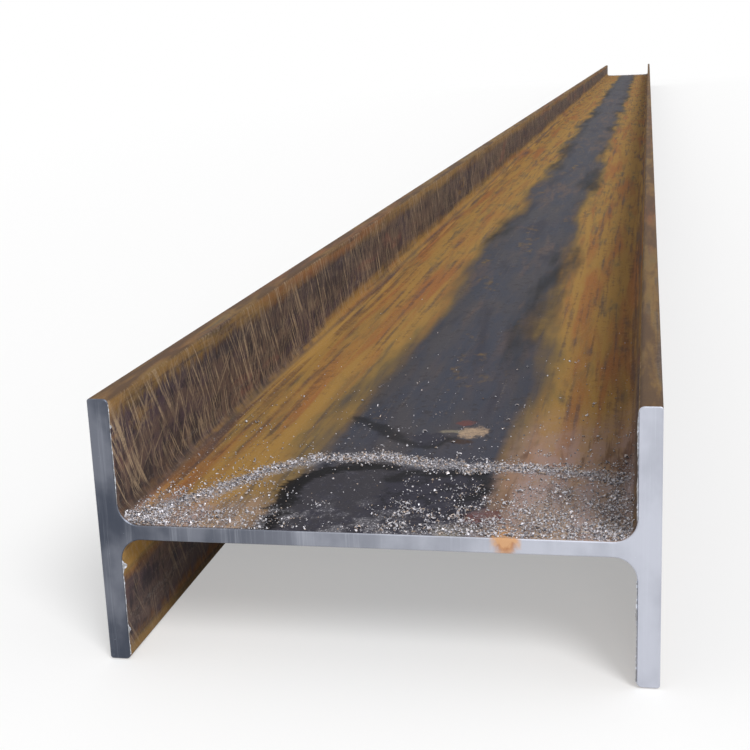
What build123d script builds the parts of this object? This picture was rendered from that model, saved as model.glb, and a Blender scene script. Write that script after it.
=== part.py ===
from build123d import *

import math
import os

# A hot-rolled steel H-beam with parallel flanges, saw-cut square at both ends.
# Sizes in millimetres, after the 200 x 100 x 5.5 x 8 section of the narrow-flange series.
# The beam lies as it is stored: its web is level and it rests on the toes of both flanges.
# X runs across the section, from flange to flange. Y runs along the beam, and Z is up.
# The origin is on the ground, at mid-length and midway between the flanges.

# Rolled section
section_depth = 200.0       # over the outer faces of the two flanges
flange_width = 100.0        # from toe to toe
flange_thickness = 8.0
web_thickness = 5.5
root_radius = 8.0           # concave fillet between web and flange
toe_inner_radius = 2.0      # rounding that the rolls leave on a toe, on the web's side
toe_outer_radius = 1.0      # the same on the flange's outer side

# Stock
beam_length = 6000.0


def corners_at(sketch, x, y):
    """The corners of a doubly symmetric sketch that lie at (x, y) and its mirror images."""
    return [
        corner
        for corner in sketch.vertices()
        if math.isclose(abs(corner.X), x, abs_tol=1e-4)
        and math.isclose(abs(corner.Y), y, abs_tol=1e-4)
    ]


def rolled_section():
    """The section's outline in XZ, centred on the web: two flanges joined by the web."""
    half_depth = section_depth / 2
    half_width = flange_width / 2
    inner_face = half_depth - flange_thickness
    flange_centre = half_depth - flange_thickness / 2

    with BuildSketch(Plane.XZ) as section:
        with Locations((-flange_centre, 0), (flange_centre, 0)):
            Rectangle(flange_thickness, flange_width)
        Rectangle(2 * inner_face, web_thickness)
        fillet(corners_at(section, inner_face, web_thickness / 2), root_radius)
        fillet(corners_at(section, inner_face, half_width), toe_inner_radius)
        fillet(corners_at(section, half_depth, half_width), toe_outer_radius)
    return section.sketch


def rolled_beam():
    """The section drawn out along Y and lifted so that the flange toes touch the ground."""
    bar = extrude(rolled_section(), amount=beam_length / 2, both=True)
    return Pos(0, 0, flange_width / 2) * bar


os.makedirs("parts", exist_ok=True)
export_step(rolled_beam(), "parts/h_beam.step")
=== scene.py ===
"""Looks of a hot-rolled steel H-beam: mill scale, rust bands, scratches, saw-cut ends and saw chips.

Lengths are metres in the frame's axes unless a name ends in _mm: X across the section from
flange to flange, Y along the beam away from the camera, Z up.
"""

import math
import random

import bmesh
import bpy
from mathutils import Matrix, Vector, noise


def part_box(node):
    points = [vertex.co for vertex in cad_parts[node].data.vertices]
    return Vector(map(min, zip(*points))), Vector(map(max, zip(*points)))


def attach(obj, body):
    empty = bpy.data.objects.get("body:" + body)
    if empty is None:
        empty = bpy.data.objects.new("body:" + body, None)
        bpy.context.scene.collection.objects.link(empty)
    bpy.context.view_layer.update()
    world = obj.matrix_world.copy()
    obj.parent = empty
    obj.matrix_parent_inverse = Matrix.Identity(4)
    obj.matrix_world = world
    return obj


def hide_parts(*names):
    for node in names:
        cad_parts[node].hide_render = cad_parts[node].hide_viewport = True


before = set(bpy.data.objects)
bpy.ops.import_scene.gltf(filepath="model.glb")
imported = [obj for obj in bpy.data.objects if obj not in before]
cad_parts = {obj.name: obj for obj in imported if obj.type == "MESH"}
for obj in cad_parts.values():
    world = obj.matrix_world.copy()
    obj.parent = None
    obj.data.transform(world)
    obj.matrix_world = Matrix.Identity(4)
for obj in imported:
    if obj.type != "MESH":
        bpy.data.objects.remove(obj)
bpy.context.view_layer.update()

MM = 0.001

# The rolled section, as in the frame, in millimetres
FLANGE_MM = 8.0
WEB_MM = 5.5
ROOT_RADIUS_MM = 8.0
TOE_INNER_RADIUS_MM = 2.0
TOE_OUTER_RADIUS_MM = 1.0
ARRIS_MM = 0.35  # broken edge round each cut face

LOW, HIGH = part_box("h_beam")
DEPTH_MM = (HIGH.x - LOW.x) / MM
WIDTH_MM = (HIGH.z - LOW.z) / MM
LENGTH_MM = (HIGH.y - LOW.y) / MM
NEAR_END = LOW.y
FAR_END = HIGH.y
INNER_MM = DEPTH_MM / 2 - FLANGE_MM  # from the middle to a flange's inner face
WEB_LEVEL_MM = WIDTH_MM / 2
WEB_TOP_MM = WEB_LEVEL_MM + WEB_MM / 2


# Shader arithmetic

class Field:
    """A value that varies over a surface, with arithmetic that adds the nodes for it."""

    def __init__(self, paint, socket):
        self.paint = paint
        self.socket = socket

    def __add__(self, other):
        return self.paint.math("ADD", self, other)

    def __radd__(self, other):
        return self.paint.math("ADD", other, self)

    def __sub__(self, other):
        return self.paint.math("SUBTRACT", self, other)

    def __rsub__(self, other):
        return self.paint.math("SUBTRACT", other, self)

    def __mul__(self, other):
        return self.paint.math("MULTIPLY", self, other)

    def __truediv__(self, other):
        return self.paint.math("DIVIDE", self, other)

    def __abs__(self):
        return self.paint.math("ABSOLUTE", self)

    def __pow__(self, other):
        return self.paint.math("POWER", self, other)


class Paint:
    """A material or world under construction: adds nodes and hands back their outputs as Fields."""

    def __init__(self, owner):
        self.owner = owner
        self.owner.use_nodes = True
        self.tree = self.owner.node_tree
        self.tree.nodes.clear()
        self.place = self.node("ShaderNodeTexCoord").outputs["Object"]

    def node(self, kind, inputs=None, **settings):
        made = self.tree.nodes.new(kind)
        for key, value in settings.items():
            setattr(made, key, value)
        for key, value in (inputs or {}).items():
            self.feed(made.inputs[key], value)
        return made

    def feed(self, socket, value):
        if isinstance(value, Field):
            value = value.socket
        if isinstance(value, bpy.types.NodeSocket):
            self.tree.links.new(value, socket)
        else:
            socket.default_value = value

    def math(self, operation, a, b=0.0):
        made = self.node("ShaderNodeMath", {0: a, 1: b}, operation=operation)
        return Field(self, made.outputs[0])

    def vector(self, operation, inputs, result="Vector"):
        """Vector arithmetic. The result is Value for a distance or a dot product."""
        return self.node("ShaderNodeVectorMath", inputs, operation=operation).outputs[result]

    def axes(self):
        """The surface point's X, Y and Z in millimetres."""
        in_mm = self.vector("SCALE", {0: self.place, "Scale": 1 / MM})
        split = self.node("ShaderNodeSeparateXYZ", {0: in_mm})
        return [Field(self, out) for out in split.outputs]

    def turned(self, degrees):
        """The place turned about X, for marks that run at an angle over a flange."""
        made = self.node(
            "ShaderNodeVectorRotate",
            {"Vector": self.place, "Angle": math.radians(degrees)},
            rotation_type="X_AXIS",
        )
        return made.outputs[0]

    def noise(self, size_mm, detail, rough=0.5, warp=0.0, place=None, shift=0.0):
        """Noise from 0 to 1, whose features measure size_mm along X, Y and Z."""
        scale = [1 / (MM * size) for size in size_mm]
        place = place or self.place
        made = self.node(
            "ShaderNodeTexNoise",
            {
                "Vector": self.vector("MULTIPLY_ADD", {0: place, 1: scale, 2: (shift, shift, shift)}),
                "Scale": 1.0,
                "Detail": detail,
                "Roughness": rough,
                "Distortion": warp,
            },
        )
        return Field(self, made.outputs[0])

    def step(self, value, low, high):
        """0 where value is below low, 1 above high, and smooth between. low may be above high."""
        made = self.node(
            "ShaderNodeMapRange",
            {"Value": value, "From Min": low, "From Max": high},
            interpolation_type="SMOOTHSTEP",
        )
        return Field(self, made.outputs[0])

    def oval(self, x, y, centre, half, power):
        """1 on the edge of a squared-off oval, less inside it and more outside."""
        across = abs((x - centre[0]) / half[0]) ** power
        along = abs((y - centre[1]) / half[1]) ** power
        return (across + along) ** (1 / power)

    def trail(self, x, y, points):
        """Distance from (x, y) to a broken line."""
        spot = self.node("ShaderNodeCombineXYZ", {0: x, 1: y}).outputs[0]
        nearest = None
        for first, last in zip(points, points[1:]):
            run = Vector((*last, 0)) - Vector((*first, 0))
            gone = self.vector("SUBTRACT", {0: spot, 1: (*first, 0)})
            share = self.vector("DOT_PRODUCT", {0: gone, 1: run / run.length_squared}, "Value")
            share = self.node("ShaderNodeClamp", {"Value": share}).outputs[0]
            foot = self.vector("SCALE", {0: run, "Scale": share})
            away = Field(self, self.vector("DISTANCE", {0: gone, 1: foot}, "Value"))
            nearest = away if nearest is None else self.smaller(nearest, away)
        return nearest

    def larger(self, a, b):
        return self.math("MAXIMUM", a, b)

    def smaller(self, a, b):
        return self.math("MINIMUM", a, b)

    def seen(self):
        """1 for what the camera, a reflection or clear glass sees, and 0 for light on the beam."""
        path = self.node("ShaderNodeLightPath")
        rays = ("Is Camera Ray", "Is Glossy Ray", "Is Transmission Ray")
        from_camera, glossy, clear = (Field(self, path.outputs[ray]) for ray in rays)
        return self.larger(from_camera, self.larger(glossy, clear))

    def blend(self, a, b, share):
        """Colour a, with b over it by its share."""
        made = self.node("ShaderNodeMix", {"Factor": share}, data_type="RGBA")
        self.feed(made.inputs["A"], a)
        self.feed(made.inputs["B"], b)
        return made.outputs["Result"]

    def mixed(self, a, b, share):
        """The number a, moved to b by its share."""
        made = self.node("ShaderNodeMix", {"Factor": share, "A": a, "B": b}, data_type="FLOAT")
        return Field(self, made.outputs[0])

    def finish(self, relief=None, relief_mm=0.1, **inputs):
        """Ends the tree in a Principled shader; relief is a Field of 0 to 1, relief_mm high."""
        if relief is not None:
            bump = self.node("ShaderNodeBump", {"Height": relief, "Distance": relief_mm * MM})
            inputs["Normal"] = bump.outputs[0]
        named = {key.replace("_", " "): value for key, value in inputs.items()}
        shader = self.node("ShaderNodeBsdfPrincipled", named)
        self.node("ShaderNodeOutputMaterial", {"Surface": shader.outputs[0]})
        return self.owner


def new_paint(name):
    return Paint(bpy.data.materials.new(name))


def colour(red, green, blue):
    """A colour written as 0 to 255 on screen, as the linear values that shaders use."""
    linear = []
    for channel in (red, green, blue):
        value = channel / 255
        linear.append(value / 12.92 if value <= 0.04045 else ((value + 0.055) / 1.055) ** 2.4)
    return (*linear, 1.0)


# Colours of the steel, its scale and what lies on it
SCALE_BLUE = colour(56, 59, 71)
SCALE_GREY = colour(66, 64, 69)
SCALE_BROWN = colour(96, 78, 70)
SCALE_RED = colour(132, 82, 72)
SCALE_PLUM = colour(76, 62, 68)
SCALE_DARK = colour(46, 42, 46)
SCALE_PALE = colour(132, 122, 116)
RUST_MUSTARD = colour(158, 122, 66)
RUST_OLIVE = colour(122, 103, 66)
RUST_ORANGE = colour(152, 96, 56)
RUST_BROWN = colour(96, 68, 52)
RUST_TAN = colour(172, 148, 124)
RUST_PINK = colour(160, 134, 126)
RUST_AMBER = colour(196, 146, 94)
RUST_DARK = colour(58, 42, 34)
RUST_RED = colour(98, 62, 60)
TOE_BROWN = colour(84, 68, 58)
OIL_BLACK = colour(10, 9, 13)
OIL_GREY = colour(51, 49, 55)
OIL_NAVY = colour(46, 45, 56)
CLAY = colour(124, 116, 102)
DUST_GREY = colour(158, 156, 162)
SCRATCH_TAN = colour(166, 144, 118)
# The cut steel as lit on its right, and in painted shade on its left: lit and shaded copies of one colour
STEEL_CUT = colour(192, 195, 206)
STEEL_CUT_SHADED = colour(72, 77, 89)
STEEL_BRIGHT = colour(208, 212, 222)
BURR_GREY = colour(150, 150, 152)
CHIP_GREY = colour(112, 111, 118)
CHIP_BRIGHT = colour(208, 206, 212)

# Colours of the floor and the background
FLOOR_PALE = colour(250, 250, 250)
WHITE = colour(255, 255, 255)

# Marks on the web behind the near cut, as (x, distance from the cut) in millimetres
TIDE_MM = [(-39, -6), (-38, 22), (-40, 44), (-37, 60), (-29, 70), (-18, 74), (-6, 76)]
STAIN_MM = [(-33, 144), (-29, 139), (-18, 125), (-10, 113), (1, 105), (7, 103), (11, 115)]
RIM_MM = [(-2, 60), (2, 68), (8, 69), (15, 64), (22, 70), (30, 69), (36, 60), (35, 46), (28, 38)]
DRIFT_MM = [
    (-88, 6), (-80, 24), (-64, 48), (-52, 70), (-38, 83), (-24, 86),
    (-10, 88), (6, 79), (24, 77), (44, 77), (70, 72), (88, 64),
]

# Small patches there, one of them a painted shadow: middle and half size in millimetres, and colour
PATCHES = (
    ((2, 115), (9, 11), OIL_NAVY),
    ((12, 126), (7, 3), CLAY),
    # Painted shadow under the tan patch that follows, in dark rust colour
    ((18, 111), (6, 4), RUST_DARK),
    ((21, 125), (6, 9), RUST_TAN),
    ((16, 139), (4, 5), RUST_RED),
    ((30, 6), (9, 7), CLAY),
    ((38, 20), (8, 9), RUST_RED),
    ((34, 11), (9, 3), RUST_DARK),
    ((48, 4), (5, 9), RUST_AMBER),
)

# Sets of scratches: degrees from the beam's length, width in millimetres, the noise level at which
# they start, and strength
SCRATCH_SETS = (
    (61, 1.6, 0.56, 1.0),
    (54, 1.2, 0.57, 0.9),
    (68, 1.0, 0.575, 0.8),
    (-30, 1.3, 0.60, 0.6),
    (-60, 1.1, 0.59, 0.7),
    (82, 1.0, 0.59, 0.7),
)


class Rolled:
    """Where a point lies on the rolled section, as Fields in millimetres or of 0 to 1."""

    def __init__(self, paint):
        self.x, self.y, self.z = paint.axes()
        self.from_cut = self.y + LENGTH_MM / 2
        self.from_web = abs(self.z - WEB_LEVEL_MM)
        self.from_flange = INNER_MM - abs(self.x)
        inside = paint.step(self.from_flange, -0.6, -0.2)
        self.web = paint.step(self.from_flange, 0.8, 3.5)
        self.inner_face = paint.smaller(inside, 1 - self.web)
        self.outer_face = paint.step(self.from_flange, 0.6 - FLANGE_MM, 0.2 - FLANGE_MM)
        self.upper = paint.step(self.z, WEB_LEVEL_MM - 0.5, WEB_LEVEL_MM + 0.5)
        self.web_top = self.web * self.upper


class Wear:
    """The noises that scale, rust and stains share, most of them drawn out along the beam."""

    def __init__(self, paint):
        self.slow = paint.noise((80, 700, 80), detail=3, shift=3.1)
        self.cloud = paint.noise((22, 130, 22), detail=4, rough=0.6, shift=11.7)
        self.smear = paint.noise((8, 70, 8), detail=4, rough=0.6, warp=0.4, shift=51.0)
        self.streak = paint.noise((3, 130, 3), detail=3, rough=0.55, shift=8.2)
        self.fleck = paint.noise((4, 6, 4), detail=3, rough=0.65, shift=5.5)
        self.grain = paint.noise((1.1, 1.5, 1.1), detail=2, rough=0.7)
        self.ragged = paint.noise((7, 13, 7), detail=4, rough=0.7, shift=2.2)
        self.edge = paint.noise((24, 230, 24), detail=3, rough=0.6, shift=21.0)
        self.oily = paint.noise((26, 200, 26), detail=3, rough=0.6, warp=0.5, shift=91.0)
        self.run = paint.noise((9, 4, 15), detail=3, rough=0.6, shift=61.0)
        self.uneven = self.ragged - 0.5


def scale_colour(paint, at, wear):
    """Mill scale: grey and blue on the web and outer faces, brown and plum on the inner faces."""
    cool = paint.blend(SCALE_GREY, SCALE_BLUE, paint.step(wear.cloud + wear.slow * 0.4, 0.60, 0.80))
    browned = paint.step(wear.slow * 0.6 + wear.smear * 0.6, 0.60, 0.78)
    away_from_cut = paint.mixed(0.1, 0.7, paint.step(at.from_cut, 130, 420))
    cool = paint.blend(cool, SCALE_BROWN, browned * away_from_cut)
    warm = paint.blend(SCALE_BROWN, SCALE_PLUM, paint.step(wear.cloud, 0.42, 0.60))
    warm = paint.blend(warm, SCALE_BLUE, paint.step(wear.slow, 0.54, 0.68) * 0.5)
    warm = paint.blend(warm, SCALE_RED, paint.step(wear.oily, 0.43, 0.34) * 0.55)
    warm = paint.blend(warm, SCALE_DARK, paint.step(wear.run * 0.6 + wear.smear * 0.4, 0.46, 0.58) * 0.75)
    base = paint.blend(cool, warm, at.inner_face)
    base = paint.blend(base, OIL_NAVY, paint.step(wear.oily, 0.53, 0.66) * paint.mixed(0.3, 0.75, at.web))
    base = paint.blend(base, SCALE_DARK, paint.step(wear.fleck * 0.7 + wear.streak * 0.3, 0.53, 0.63) * 0.6)
    return paint.blend(base, SCALE_PALE, paint.step(wear.grain * 0.5 + wear.streak * 0.5, 0.56, 0.68) * 0.35)


def rust_band(paint, at, wear):
    """Width in millimetres of the rust on the web, out from each flange."""
    wander = paint.noise((90, 260, 90), detail=2, rough=0.6, shift=27.0) * paint.step(at.from_cut, 100, 500)
    return 21 + wear.edge * 44 + wear.ragged * 6 + wander * 26


def rust_share(paint, at, wear, band_mm):
    """How rusty each place is: a band beside each root, the foot of each flange, and the toes."""
    web_band = paint.step(at.from_flange, band_mm + 9, band_mm - 7) * at.web
    clear_mm = paint.mixed(0, paint.mixed(13, 3, paint.step(at.from_cut, 180, 420)), at.upper)
    foot_mm = wear.edge * 16 + wear.ragged * 13 + 2 - clear_mm
    foot = paint.step(at.from_web, foot_mm + 5, foot_mm - 5) * at.inner_face
    toe_mm = wear.edge * 14 + paint.mixed(wear.run, wear.ragged, at.outer_face) * 14 - 6
    toe = paint.step(WIDTH_MM / 2 - at.from_web, toe_mm + 4, toe_mm - 4) * 0.7
    blotch = paint.step(wear.cloud * 0.6 + wear.ragged * 0.4, 0.56, 0.68) * 0.6
    rust = paint.larger(paint.larger(web_band, foot), paint.larger(toe, blotch))
    whole = paint.step(wear.smear * 0.5 + wear.streak * 0.5, 0.52, 0.66)
    return rust * (1 - whole * 0.5)


def rust_colour(paint, at, wear, band_mm):
    """Rust: mustard and olive, with orange drifts, brown smears, and browner beside the roots."""
    tone = paint.noise((13, 260, 13), detail=4, rough=0.6, warp=0.3, shift=14.0)
    rusty = paint.blend(RUST_MUSTARD, RUST_OLIVE, paint.step(wear.smear * 0.6 + tone * 0.4, 0.45, 0.62) * 0.9)
    rusty = paint.blend(rusty, RUST_ORANGE, paint.step(tone + wear.slow * 0.3, 0.60, 0.84) * 0.8)
    rusty = paint.blend(rusty, RUST_BROWN, paint.step(wear.fleck * 0.4 + wear.streak * 0.6, 0.50, 0.66) * 0.6)
    root = paint.step(at.from_flange + wear.ragged * 10, 18, 8) * at.web
    rusty = paint.blend(rusty, RUST_BROWN, root * paint.step(wear.streak, 0.42, 0.60) * 0.8)
    rusty = paint.blend(rusty, RUST_TAN, paint.step(wear.grain, 0.52, 0.70) * 0.3)
    rusty = paint.blend(rusty, TOE_BROWN, at.outer_face * paint.mixed(0.45, 0.85, wear.cloud))
    fading = paint.step(at.from_flange, band_mm - 14, band_mm)
    return paint.blend(rusty, RUST_OLIVE, fading * at.web * 0.7)


def scratches(paint, at):
    """Scratches on the flanges' inner faces: one main set, and others across it."""
    marks = None
    for number, (degrees, width_mm, least, strength) in enumerate(SCRATCH_SETS):
        turned = paint.turned(degrees)
        lines = paint.noise((60, 48, width_mm), detail=1, place=turned, shift=7.0 * number)
        clump = paint.noise((40, 28, 22), detail=2, rough=0.6, shift=40.0 + number)
        drawn = paint.step(lines, least, least + 0.09) * paint.step(clump, 0.40, 0.64) * strength
        marks = drawn if marks is None else paint.larger(marks, drawn)
    above_root = paint.step(at.from_web, 5, 11)
    return marks * above_root * at.inner_face * paint.mixed(0.35, 1.0, at.upper)


def front_rust(paint, at, wear, base, rust):
    """Pinkish rust on the web's upper side, behind the near cut and all over the right of it.

    A dark line of painted shadow runs along the lip of the cut, left of the pool, where the chips meet the
    edge.
    """
    front = paint.step(at.from_cut + wear.ragged * 50, 72, 30)
    right = paint.step(at.x + wear.ragged * 34, 50, 66) * paint.step(at.from_cut + wear.edge * 120, 250, 150)
    pink = paint.larger(front * rust, right) * at.web_top
    patchy = paint.mixed(0.45, 0.9, paint.step(wear.smear * 0.5 + wear.ragged * 0.5, 0.56, 0.42))
    base = paint.blend(base, RUST_PINK, pink * patchy)
    clouded = front * rust * paint.step(wear.cloud, 0.44, 0.58) * at.web_top
    base = paint.blend(base, RUST_MUSTARD, clouded * 0.6)
    base = paint.blend(base, RUST_BROWN, pink * paint.step(wear.smear, 0.52, 0.64) * 0.75)
    # Painted shadow: a dark line along the lip of the near cut, between the chips and the edge
    lip = paint.step(at.from_cut, 1.7, 1.0) * paint.step(at.x, -36, -44) * at.web_top
    return paint.blend(base, RUST_DARK, lip)


def pools(paint, at, wear, base, finger):
    """The left part of a charcoal pool at the cut, and a navy pool over its right side."""
    first = paint.oval(at.x, at.from_cut, centre=(-1, 0), half=(41, 76), power=5)
    first = paint.step(first + wear.uneven * 0.16, 1.03, 0.95)
    left_part = paint.step(at.x - at.from_cut * 0.22 + wear.uneven * 30, 26, 16)
    mottled = paint.blend(OIL_GREY, OIL_NAVY, paint.step(wear.fleck * 0.5 + wear.cloud * 0.5, 0.46, 0.60))
    dusted = paint.step(wear.grain * 0.6 + wear.fleck * 0.4, 0.54, 0.68)
    mottled = paint.blend(mottled, DUST_GREY, dusted * 0.24)
    base = paint.blend(base, mottled, first * left_part * at.web_top * 0.92)

    second = paint.oval(at.x, at.from_cut, centre=(16, 40), half=(21, 30), power=3)
    second = paint.step(second + wear.uneven * 1.1 + finger * 0.7, 1.08, 0.86)
    base = paint.blend(base, OIL_NAVY, second * at.web_top * 0.88)
    blots = second * paint.step(wear.fleck * 0.6 + wear.ragged * 0.4, 0.48, 0.58)
    return paint.blend(base, OIL_BLACK, blots * at.web_top * 0.6)


def black_marks(paint, at, wear, base, finger):
    """The first pool's black edge, the second one's, and the hooked stain behind the chips."""
    tide = paint.trail(at.x, at.from_cut, TIDE_MM) + wear.uneven * 8 + finger * 14
    stain = paint.trail(at.x, at.from_cut, STAIN_MM) + wear.uneven * 14
    rim = paint.trail(at.x, at.from_cut, RIM_MM) + wear.uneven * 9 + finger * 7
    black = paint.larger(paint.step(tide, 6.6, 2.4), paint.step(stain, 6.0, 1.4) * 0.8)
    black = paint.larger(black, paint.step(rim, 5.6, 1.2) * 0.85)
    return paint.blend(base, OIL_BLACK, black * at.web_top * 0.95)


def small_patches(paint, at, wear, base):
    """Patches of clay, rust and oil, and a painted shadow under the tan one, speckled and with ragged edges.
    """
    speckled = paint.mixed(0.55, 0.95, paint.step(wear.grain * 0.5 + wear.fleck * 0.5, 0.58, 0.46))
    for centre, half, tint in PATCHES:
        patch = paint.oval(at.x, at.from_cut, centre=centre, half=half, power=2)
        cover = paint.step(patch + wear.uneven * 2.4, 1.15, 0.55) * speckled
        base = paint.blend(base, tint, cover * at.web_top)
    return base


def cutting_fluid(paint, at, wear, base):
    """What the saw's fluid has left on the web's upper side behind the near cut, and a painted shadow among
    its patches.
    """
    finger = paint.noise((9, 4, 9), detail=3, rough=0.65, shift=33.0) - 0.5
    base = pools(paint, at, wear, base, finger)
    base = black_marks(paint, at, wear, base, finger)
    return small_patches(paint, at, wear, base)


def fine_swarf(paint, at, wear, base):
    """Swarf too small to model, thickest under the drifted chips and beside the cut."""
    clot = paint.noise((7, 9, 7), detail=3, rough=0.6, shift=81.0)
    drift = paint.step(paint.trail(at.x, at.from_cut, DRIFT_MM) + (clot - 0.5) * 16, 8, 0)
    beside = paint.step(at.from_cut + wear.ragged * 30, 60, 15) * paint.step(clot, 0.46, 0.62)
    sides = paint.step(abs(at.x - 2), 40, 54) * paint.step(at.from_cut + clot * 80 - at.x * 0.4, 110, 44)
    swarf = paint.larger(paint.larger(drift, beside * 0.5), sides * 0.55) * at.web_top
    sparkle = paint.noise((0.8, 0.8, 0.8), detail=1, shift=71.0)
    sparkle = paint.step(sparkle + swarf * 0.14, 0.62, 0.70)
    return paint.blend(base, DUST_GREY, paint.larger(sparkle * paint.step(swarf, 0, 0.3), swarf * 0.45))


def mill_scale():
    """The rolled surfaces: scale, rust, scratches, the saw's fluid and its fine swarf, and painted shadows
    along the near cut and under one patch.
    """
    paint = new_paint("mill_scale_and_rust")
    at = Rolled(paint)
    wear = Wear(paint)
    band_mm = rust_band(paint, at, wear)
    rust = rust_share(paint, at, wear, band_mm)
    base = paint.blend(scale_colour(paint, at, wear), rust_colour(paint, at, wear, band_mm), rust)

    toe_top = paint.step(at.from_web, WIDTH_MM / 2 - 2.0, WIDTH_MM / 2 - 0.6)
    base = paint.blend(base, TOE_BROWN, toe_top * paint.step(wear.smear, 0.62, 0.40) * 0.85)
    worn = paint.step(wear.ragged * 0.5 + wear.grain * 0.5, 0.36, 0.54)
    base = paint.blend(base, SCRATCH_TAN, scratches(paint, at) * paint.mixed(0.35, 0.95, worn))

    spill = paint.noise((34, 300, 34), detail=3, rough=0.55, warp=0.4, shift=17.0)
    seam = paint.step(abs(at.from_flange - band_mm - 6), 16, 2) * at.web * paint.step(at.from_cut, 110, 180)
    base = paint.blend(base, OIL_BLACK, seam * paint.mixed(0.15, 0.8, paint.step(spill, 0.48, 0.66)))

    base = front_rust(paint, at, wear, base, rust)
    base = cutting_fluid(paint, at, wear, base)
    base = fine_swarf(paint, at, wear, base)
    return paint.finish(
        relief=wear.grain * 0.4 + wear.fleck * 0.35 + wear.ragged * 0.4,
        relief_mm=0.25,
        Base_Color=base,
        Roughness=paint.mixed(0.6 + wear.grain * 0.2, 0.9, rust),
        Metallic=0.0,
        Specular_IOR_Level=0.12,
    )


def cut_steel():
    """A saw-cut end: grey-blue steel with fine upright lines from the blade, with painted light to the right
    and painted shade darkening it to the left.
    """
    paint = new_paint("saw_cut_steel")
    x, y, z = paint.axes()
    lines = paint.noise((0.4, 1, 34), detail=3, rough=0.6)
    waves = paint.noise((2.6, 1, 120), detail=2, shift=9.0)
    cloud = paint.noise((22, 1, 30), detail=4, shift=4.0)
    speck = paint.noise((1.0, 1, 1.0), detail=2, shift=19.0)
    smudge = paint.noise((4, 1, 5), detail=3, shift=29.0)
    # Painted light and shade: the cut is painted lighter to the right and darker to the left as a lamp would
    # light it, with some cloudy tone at random
    painted_shade_and_tone = paint.step(x, 85, -95) * 0.78 + paint.step(cloud, 0.38, 0.62) * 0.22
    base = paint.blend(STEEL_CUT, STEEL_CUT_SHADED, painted_shade_and_tone)
    base = paint.blend(base, STEEL_BRIGHT, paint.step(lines * 0.5 + waves * 0.5, 0.50, 0.75) * 0.3)
    base = paint.blend(base, STEEL_BRIGHT, paint.step(speck, 0.73, 0.79) * 0.5)
    drip = paint.oval(x, z, centre=(48, 52), half=(5, 7), power=2) + (smudge - 0.5) * 1.6
    stained = paint.step(drip, 1.2, 0.5) * paint.step(y, 0, -1)
    base = paint.blend(base, RUST_AMBER, stained * 0.9)
    base = paint.blend(base, RUST_ORANGE, stained * paint.step(smudge, 0.48, 0.62) * 0.7)
    return paint.finish(
        relief=lines * 0.7 + waves * 0.5,
        relief_mm=0.04,
        Base_Color=base,
        Roughness=paint.mixed(0.42 + lines * 0.12, 0.8, stained),
        Metallic=paint.mixed(0.9, 0.1, stained),
    )


def burr_steel():
    """Freshly torn metal on the burr."""
    paint = new_paint("burr_steel")
    grain = paint.noise((1.2, 1.2, 1.2), detail=1)
    base = paint.blend(BURR_GREY, STEEL_BRIGHT, paint.step(grain, 0.46, 0.70))
    return paint.finish(Base_Color=base, Roughness=0.34 + grain * 0.2, Metallic=0.8)


def chip_steel():
    """Saw chips: bright ones, grey ones, and some that have begun to rust."""
    paint = new_paint("saw_chip_steel")
    each = paint.noise((1.0, 1.0, 1.0), detail=0, shift=3.0)
    age = paint.noise((1.2, 1.2, 1.2), detail=0, shift=23.0)
    base = paint.blend(CHIP_GREY, CHIP_BRIGHT, paint.step(each, 0.36, 0.58))
    base = paint.blend(base, RUST_TAN, paint.step(age, 0.54, 0.66) * 0.7)
    return paint.finish(Base_Color=base, Roughness=0.42 + age * 0.2, Metallic=0.5)


# How the beam's skin fills its baked map, as shares of the map's side
MAP_ENDS = 0.16  # height of the strip that holds both cut ends
MAP_END_WIDTH = 0.48  # width of each cut end in that strip
MAP_MARGIN = 0.01  # clear at the left of each cut end
MAP_GAP = 0.03  # clear between the cut ends and the rest
MAP_NEAR_HALF = 0.66  # share of the rest that the near half of the beam gets
MAP_SHARP_MM = 200.0  # the map is sharpest this near to each end


# The section's outline

def arc(centre, radius, start, end, steps):
    """Points on an arc round centre, from start to end in degrees."""
    points = []
    for step in range(steps + 1):
        turn = math.radians(start + (end - start) * step / steps)
        points.append((centre[0] + radius * math.cos(turn), centre[1] + radius * math.sin(turn)))
    return points


def along(first, last, pitch_mm):
    """Points between first and last, about pitch_mm apart, without either end."""
    length = math.dist(first, last)
    count = max(1, round(length / pitch_mm))
    return [
        tuple(a + (b - a) * step / count for a, b in zip(first, last))
        for step in range(1, count)
    ]


def section_outline(pitch_mm):
    """The section's outline in millimetres, anticlockwise, with z measured from the web's middle."""
    half_depth, half_width, half_web = DEPTH_MM / 2, WIDTH_MM / 2, WEB_MM / 2
    outer, inner, root = TOE_OUTER_RADIUS_MM, TOE_INNER_RADIUS_MM, ROOT_RADIUS_MM
    quarter = arc((INNER_MM - root, half_web + root), root, -90, 0, 12)
    quarter += arc((INNER_MM + inner, half_width - inner), inner, 180, 90, 5)
    quarter += arc((half_depth - outer, half_width - outer), outer, 90, 0, 4)
    mirrored = [
        quarter[::-1],
        [(-x, z) for x, z in quarter],
        [(-x, -z) for x, z in quarter[::-1]],
        [(x, -z) for x, z in quarter],
    ]
    corners = [point for part in mirrored for point in part]
    outline = []
    for here, after in zip(corners, corners[1:] + corners[:1]):
        outline.append(here)
        outline += along(here, after, pitch_mm)
    return outline


def inset(outline, distance):
    """The outline moved inwards by a small distance, along each point's own normal."""
    moved = []
    for before, here, after in zip(outline[-1:] + outline[:-1], outline, outline[1:] + outline[:1]):
        dx, dz = after[0] - before[0], after[1] - before[1]
        length = math.hypot(dx, dz)
        moved.append((here[0] - dz / length * distance, here[1] + dx / length * distance))
    return moved


def stations(fine_mm, coarse_mm, growth):
    """Distances along the beam, in millimetres from one end, close together near both ends."""
    half = [ARRIS_MM]
    pitch = fine_mm
    while half[-1] + pitch < LENGTH_MM / 2:
        half.append(half[-1] + pitch)
        pitch = min(coarse_mm, pitch * growth)
    return half + [LENGTH_MM / 2] + [LENGTH_MM - place for place in half[::-1]]


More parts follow.
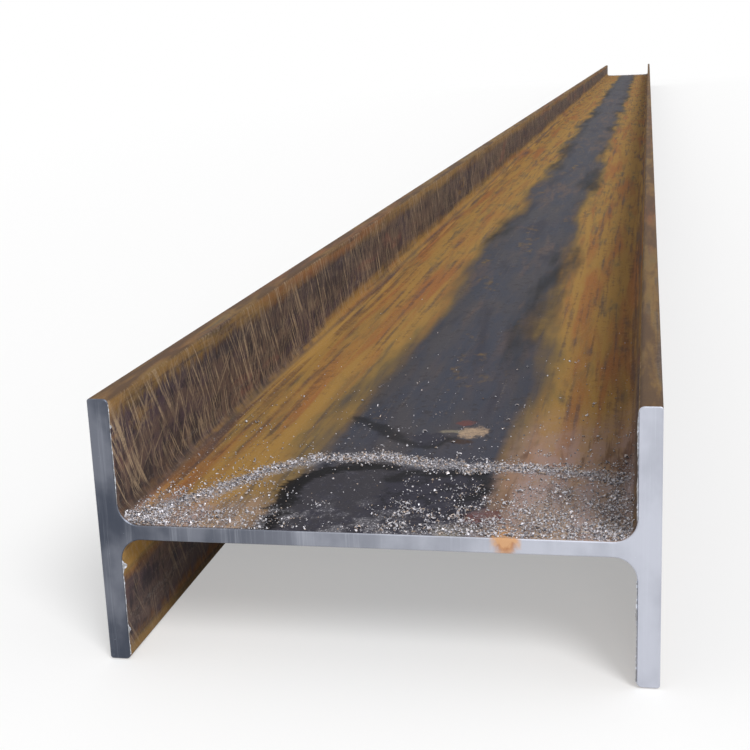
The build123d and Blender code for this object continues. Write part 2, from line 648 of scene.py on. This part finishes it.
def map_share(place_mm):
    """Where a place along the beam falls in the baked map, from 0 to 1. The ends get most of it."""
    to_middle = LENGTH_MM / 2

    def grown(from_end_mm):
        return math.log1p(from_end_mm / MAP_SHARP_MM) / math.log1p(to_middle / MAP_SHARP_MM)

    if place_mm <= to_middle:
        return MAP_NEAR_HALF * grown(place_mm)
    return 1 - (1 - MAP_NEAR_HALF) * grown(LENGTH_MM - place_mm)


def beam_skin(side, end):
    """The whole beam as one closed mesh: sides, cut ends, and the small arris round each cut."""
    outline = section_outline(pitch_mm=6.0)
    shapes = [(0.0, inset(outline, ARRIS_MM))]
    shapes += [(place, outline) for place in stations(fine_mm=4.0, coarse_mm=60.0, growth=1.08)]
    shapes += [(LENGTH_MM, inset(outline, ARRIS_MM))]
    lengths = [math.dist(a, b) for a, b in zip(outline, outline[1:] + outline[:1])]
    around = [sum(lengths[:step]) / sum(lengths) for step in range(len(outline) + 1)]
    upward = [MAP_ENDS + (1 - MAP_ENDS) * map_share(place) for place, _ in shapes]

    mesh = bmesh.new()
    spread = mesh.loops.layers.uv.new("OFBake")
    rings = []
    for place, shape in shapes:
        y = NEAR_END + place * MM
        rings.append([mesh.verts.new((px * MM, y, (WEB_LEVEL_MM + pz) * MM)) for px, pz in shape])
    for row in range(len(rings) - 1):
        at_end = row in (0, len(rings) - 2)
        for step in range(len(outline)):
            corners = ((row, step), (row + 1, step), (row + 1, step + 1), (row, step + 1))
            face = mesh.faces.new([rings[r][s % len(outline)] for r, s in corners])
            face.material_index = 1 if at_end else 0
            face.smooth = not at_end
            for loop, (r, s) in zip(face.loops, corners):
                loop[spread].uv = around[s], upward[r]
    for left, ring in ((0.0, rings[0][::-1]), (0.5, rings[-1])):
        face = mesh.faces.new(ring)
        face.material_index = 1
        for loop in face.loops:
            across = (loop.vert.co.x / MM / DEPTH_MM + 0.5) * MAP_END_WIDTH
            height = loop.vert.co.z / MM / WIDTH_MM * (MAP_ENDS - MAP_GAP)
            loop[spread].uv = left + MAP_MARGIN + across, height
    bmesh.ops.recalc_face_normals(mesh, faces=mesh.faces)
    return new_piece("beam_skin", mesh, [side, end])


def new_piece(name, mesh, materials):
    """Turns a bmesh into an object that rides with the beam and takes its finish from its slot."""
    data = bpy.data.meshes.new(name)
    mesh.to_mesh(data)
    mesh.free()
    piece = bpy.data.objects.new(name, data)
    bpy.context.scene.collection.objects.link(piece)
    for material in materials:
        data.materials.append(material)
    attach(piece, "root")
    return piece


# Saw chips

LEAST_CHIP_MM = 0.42
MOST_CHIP_MM = 3.0
CHIP_RARITY = 3.4  # how fast chips get rarer with each millimetre of size
CURL_SHARE = 0.05  # how many are curled shavings
CRUMB_FLATNESS = 0.55  # height of a crumb against its width


def rest_height(x_mm):
    """Height of the web's upper side at x, root fillets included."""
    into_root = abs(x_mm) - (INNER_MM - ROOT_RADIUS_MM)
    if into_root <= 0:
        return WEB_TOP_MM
    into_root = min(into_root, ROOT_RADIUS_MM)
    return WEB_TOP_MM + ROOT_RADIUS_MM - math.sqrt(ROOT_RADIUS_MM**2 - into_root**2)


def crumb(mesh, centre, size, turn, rng):
    """A sawn crumb: an uneven eight-sided lump."""
    reach = [size * rng.uniform(0.35, 0.6) for _ in range(6)]
    flat = CRUMB_FLATNESS
    axes = ((1, 0, 0), (0, 1, 0), (-1, 0, 0), (0, -1, 0), (0, 0, flat), (0, 0, -flat))
    verts = [mesh.verts.new(centre + turn @ (Vector(axis) * far)) for axis, far in zip(axes, reach)]
    for step in range(4):
        a, b = verts[step], verts[(step + 1) % 4]
        mesh.faces.new((a, b, verts[4]))
        mesh.faces.new((b, a, verts[5]))


def curl(mesh, centre, size, turn, rng):
    """A curled shaving: a short band bent round, with some thickness."""
    steps = 4
    thick = size * 0.09
    wide = size * rng.uniform(0.16, 0.3)
    bend = math.radians(rng.uniform(70, 200))
    radius = size / bend
    ribs = []
    for step in range(steps + 1):
        angle = bend * (step / steps - 0.5)
        rib = []
        for away, side in ((0, -1), (0, 1), (thick, 1), (thick, -1)):
            far = radius + away
            point = Vector((far * math.sin(angle), side * wide / 2, far * math.cos(angle) - radius))
            rib.append(mesh.verts.new(centre + turn @ point))
        ribs.append(rib)
    for rib, after in zip(ribs, ribs[1:]):
        for k in range(4):
            mesh.faces.new((rib[k], rib[(k + 1) % 4], after[(k + 1) % 4], after[k]))
    mesh.faces.new(ribs[0][::-1])
    mesh.faces.new(ribs[-1])


def any_turn(rng):
    """A turn by any angle about any axis."""
    axis = Vector((rng.gauss(0, 1), rng.gauss(0, 1), rng.gauss(0, 1))).normalized()
    return Matrix.Rotation(rng.uniform(0, math.tau), 3, axis)


def chip(mesh, end, inward, x_mm, from_cut_mm, lift_mm, rng):
    """One chip on the web, lift_mm above the surface it lies on and never out past the cut."""
    size_mm = min(MOST_CHIP_MM, LEAST_CHIP_MM + rng.expovariate(CHIP_RARITY))
    shape = curl if rng.random() < CURL_SHARE else crumb
    if shape is curl:
        size_mm = size_mm * 1.6 + 0.4
    z_mm = rest_height(x_mm) + lift_mm + size_mm * 0.2
    from_cut_mm = max(from_cut_mm, size_mm * 0.65)
    centre = Vector((x_mm * MM, end + inward * from_cut_mm * MM, z_mm * MM))
    shape(mesh, centre, size_mm * MM, any_turn(rng), rng)


def on_line(points, share):
    """The point at a share of the way along a broken line."""
    lengths = [math.dist(a, b) for a, b in zip(points, points[1:])]
    left = share * sum(lengths)
    for (a, b), length in zip(zip(points, points[1:]), lengths):
        if left <= length:
            return tuple(p + (q - p) * left / length for p, q in zip(a, b))
        left -= length
    return points[-1]


def saw_chips(name, material, end, inward, seed, share):
    """Chips behind one cut. end is that end's y, and inward is +1 or -1, the way along the beam."""
    rng = random.Random(seed)
    mesh = bmesh.new()
    widest_mm = INNER_MM - 1.5
    nearest_mm = 0.8

    def drop(x_mm, from_cut_mm, lift_mm):
        if abs(x_mm) < widest_mm and from_cut_mm > nearest_mm:
            chip(mesh, end, inward, x_mm, from_cut_mm, lift_mm, rng)

    def behind(mean_mm):
        """A distance behind the cut: 1 mm, and mean_mm more on average, with most of them shorter."""
        return rng.expovariate(1 / mean_mm) + 1.0

    def stays(x_mm, from_cut_mm):
        """Whether a chip stays. In the left part of the pool only about one in five does."""
        in_pool = -36 < x_mm < 0 and from_cut_mm < 70
        return not in_pool or rng.random() < 0.22

    def clot(x_mm, from_cut_mm, count, spread_mm, lift_mm):
        """A small cluster of about count chips, heaped up to lift_mm."""
        for _ in range(round(rng.expovariate(1 / count)) + 1):
            away = rng.gauss(0, spread_mm), rng.gauss(0, spread_mm)
            heap = rng.uniform(0, lift_mm) * math.exp(-math.hypot(*away) / spread_mm)
            drop(x_mm + away[0], from_cut_mm + away[1], heap)

    for _ in range(round(640 * share)):  # drifted line, broader on the right
        x_mm, from_cut_mm = on_line(DRIFT_MM, rng.random())
        drift_mm = rng.gauss(0, 2.6 if x_mm < -5 else 3.8)
        clot(x_mm, from_cut_mm + drift_mm, count=8, spread_mm=1.9, lift_mm=1.0)
    for _ in range(round(2200 * share)):  # thrown over the web, thinning out along the beam
        x_mm, from_cut_mm = rng.uniform(-90, 90), rng.expovariate(1 / 60)
        if stays(x_mm, from_cut_mm):
            drop(x_mm, from_cut_mm, lift_mm=0.0)
    for _ in range(round(260 * share)):  # thick beside the cut, right of the middle
        x_mm, from_cut_mm = rng.gauss(40, 32), behind(18)
        if stays(x_mm, from_cut_mm):
            clot(x_mm, from_cut_mm, count=9, spread_mm=1.8, lift_mm=0.9)
    for _ in range(round(170 * share)):  # over the right side
        clot(rng.gauss(64, 14), behind(34), count=8, spread_mm=3.0, lift_mm=0.4)
    for _ in range(round(170 * share)):  # left front, over the rust
        clot(rng.gauss(-68, 14), behind(22), count=7, spread_mm=3.2, lift_mm=0.4)
    for _ in range(round(120 * share)):  # heaped in the left root
        from_cut_mm = behind(12)
        heap_mm = 3.0 * math.exp(-from_cut_mm / 14)
        clot(rng.gauss(-83, 5), from_cut_mm, count=12, spread_mm=1.8, lift_mm=heap_mm)
    for _ in range(round(110 * share)):  # heaped in the right root
        from_cut_mm = behind(24)
        heap_mm = 2.4 * math.exp(-from_cut_mm / 22)
        clot(rng.gauss(84, 4), from_cut_mm, count=12, spread_mm=1.8, lift_mm=heap_mm)
    bmesh.ops.recalc_face_normals(mesh, faces=mesh.faces)
    return new_piece(name, mesh, [material])


# Burr

LUMPS_MM = ((-1, -13, 1.6, 1.3), (-1, -38, 0.8, 0.9))  # side, level from the web, height, spread
SUNK_MM = 0.05  # how deep the burr's foot lies in the flange, and its least height
FOOT_MM = 0.5  # its length along the beam at the foot


def burr(name, material, end, inward, seed):
    """The ragged lip that the saw has pushed out along the flanges' inner edges."""
    rng = random.Random(seed)
    outline = section_outline(pitch_mm=0.9)
    tips = inset(outline, -1.0)
    mesh = bmesh.new()
    previous = None
    for here, tip in zip(outline, tips):
        on_flange = abs(abs(here[0]) - INNER_MM) < 0.01
        if not on_flange or abs(here[1]) > WIDTH_MM / 2 - TOE_INNER_RADIUS_MM:
            previous = None
            continue
        lump = noise.noise(Vector((here[0] * 0.16, here[1] * 0.16, seed)))
        jag = noise.noise(Vector((here[0] * 0.9, here[1] * 0.9, seed + 7.0)))
        height = max(SUNK_MM, 0.22 + 0.4 * lump + 0.25 * jag)
        if rng.random() < 0.02:
            height += rng.uniform(0.4, 1.0)
        for side, level, tall, wide in LUMPS_MM:
            if side * here[0] > 0:
                height += tall * math.exp(-(((here[1] - level) / wide) ** 2))
        out = Vector((tip[0] - here[0], 0, tip[1] - here[1]))
        foot = Vector((here[0], 0, here[1])) - out * SUNK_MM
        lean = rng.uniform(0.1, 0.5) * height
        points = [
            foot,
            foot + Vector((0, inward * FOOT_MM, 0)),
            foot + out * (height + SUNK_MM) + Vector((0, inward * lean, 0)),
        ]
        rib = []
        for point in points:
            rib.append(mesh.verts.new((point.x * MM, end + point.y * MM, (WEB_LEVEL_MM + point.z) * MM)))
        if previous:
            for k in range(3):
                mesh.faces.new((previous[k], previous[(k + 1) % 3], rib[(k + 1) % 3], rib[k]))
        previous = rib
    bmesh.ops.holes_fill(mesh, edges=[edge for edge in mesh.edges if edge.is_boundary])
    bmesh.ops.recalc_face_normals(mesh, faces=mesh.faces)
    return new_piece(name, mesh, [material])


# Floor, light and camera

def pale_floor():
    """A large pale floor that holds the beam's shadow and fades to plain white away from it."""
    half_side = 60.0
    below_beam_mm = 0.4
    fade_from_mm = 150.0
    fade_to_mm = 1500.0
    near_white = 0.4
    mesh = bmesh.new()
    bmesh.ops.create_grid(mesh, x_segments=1, y_segments=1, size=half_side)
    data = bpy.data.meshes.new("floor")
    mesh.to_mesh(data)
    mesh.free()
    floor = bpy.data.objects.new("floor", data)
    floor.location.z = -below_beam_mm * MM
    bpy.context.scene.collection.objects.link(floor)

    paint = new_paint("pale_floor")
    x, y, _ = paint.axes()
    beside = paint.larger(abs(x) - DEPTH_MM / 2, 0)
    beyond = paint.larger(abs(y) - LENGTH_MM / 2, 0)
    away = (beside**2 + beyond**2) ** 0.5
    white = paint.mixed(near_white, 1.0, paint.step(away, fade_from_mm, fade_to_mm)) * paint.seen()
    pale = paint.node("ShaderNodeBsdfPrincipled", {"Base Color": FLOOR_PALE, "Roughness": 0.9})
    plain = paint.node("ShaderNodeEmission", {"Color": WHITE, "Strength": 1.0})
    both = paint.node("ShaderNodeMixShader", {0: white, 1: pale.outputs[0], 2: plain.outputs[0]})
    paint.node("ShaderNodeOutputMaterial", {"Surface": both.outputs[0]})
    data.materials.append(paint.owner)


def world_light(strength):
    """Even light from all round, with plain white where the camera or a reflection sees it."""
    world = bpy.data.worlds.new("studio")
    bpy.context.scene.world = world
    paint = Paint(world)
    level = paint.mixed(strength, 1.0, paint.seen())
    sky = paint.node("ShaderNodeBackground", {"Color": WHITE, "Strength": level})
    paint.node("ShaderNodeOutputWorld", {"Surface": sky.outputs[0]})


def sun(name, strength, towards, angle):
    """A soft far lamp that shines along a direction."""
    data = bpy.data.lights.new(name, "SUN")
    data.energy = strength
    data.angle = math.radians(angle)
    lamp = bpy.data.objects.new(name, data)
    lamp.rotation_euler = Vector(towards).to_track_quat("-Z", "Y").to_euler()
    bpy.context.scene.collection.objects.link(lamp)


def soft_lamp(name, watts, place, aim, size):
    """A small round lamp near the beam."""
    data = bpy.data.lights.new(name, "AREA")
    data.shape = "DISK"
    data.size = size
    data.energy = watts
    lamp = bpy.data.objects.new(name, data)
    lamp.location = place
    lamp.rotation_euler = (Vector(aim) - Vector(place)).to_track_quat("-Z", "Y").to_euler()
    bpy.context.scene.collection.objects.link(lamp)


def camera():
    """Close before the near cut and right of the middle, looking down along the beam."""
    right_of_middle = 0.094
    before_the_cut = 0.420
    above_floor = 0.216
    turned_left = 11.97
    tilted_down = 13.9
    rolled = -2.36
    data = bpy.data.cameras.new("camera")
    data.sensor_width = 36.0
    data.lens = 63.1
    data.clip_start = 0.05
    data.clip_end = 200.0
    viewer = bpy.data.objects.new("camera", data)
    place = Matrix.Translation((right_of_middle, NEAR_END - before_the_cut, above_floor))
    yaw = Matrix.Rotation(math.radians(turned_left), 4, "Z")
    pitch = Matrix.Rotation(math.radians(90 - tilted_down), 4, "X")
    roll = Matrix.Rotation(math.radians(rolled), 4, "Z")
    viewer.matrix_world = place @ yaw @ pitch @ roll
    bpy.context.scene.collection.objects.link(viewer)
    bpy.context.scene.camera = viewer


camera()
world_light(strength=0.55)
sun("key", strength=2.1, towards=(-0.45, 0.62, -0.72), angle=24)
soft_lamp("front", watts=0.3, place=(0.17, NEAR_END - 0.5, 0.25), aim=(0.03, NEAR_END, 0.06), size=0.12)
pale_floor()

scale_finish = mill_scale()
cut_finish = cut_steel()
burr_finish = burr_steel()
chip_finish = chip_steel()

skin = beam_skin(scale_finish, cut_finish)
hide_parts("h_beam")
saw_chips("saw_chips_near", chip_finish, NEAR_END, 1, seed=4, share=1.0)
saw_chips("saw_chips_far", chip_finish, FAR_END, -1, seed=9, share=0.35)
burr("burr_near", burr_finish, NEAR_END, 1, seed=2)
burr("burr_far", burr_finish, FAR_END, -1, seed=5)

bpy.context.scene.view_settings.view_transform = "Standard"
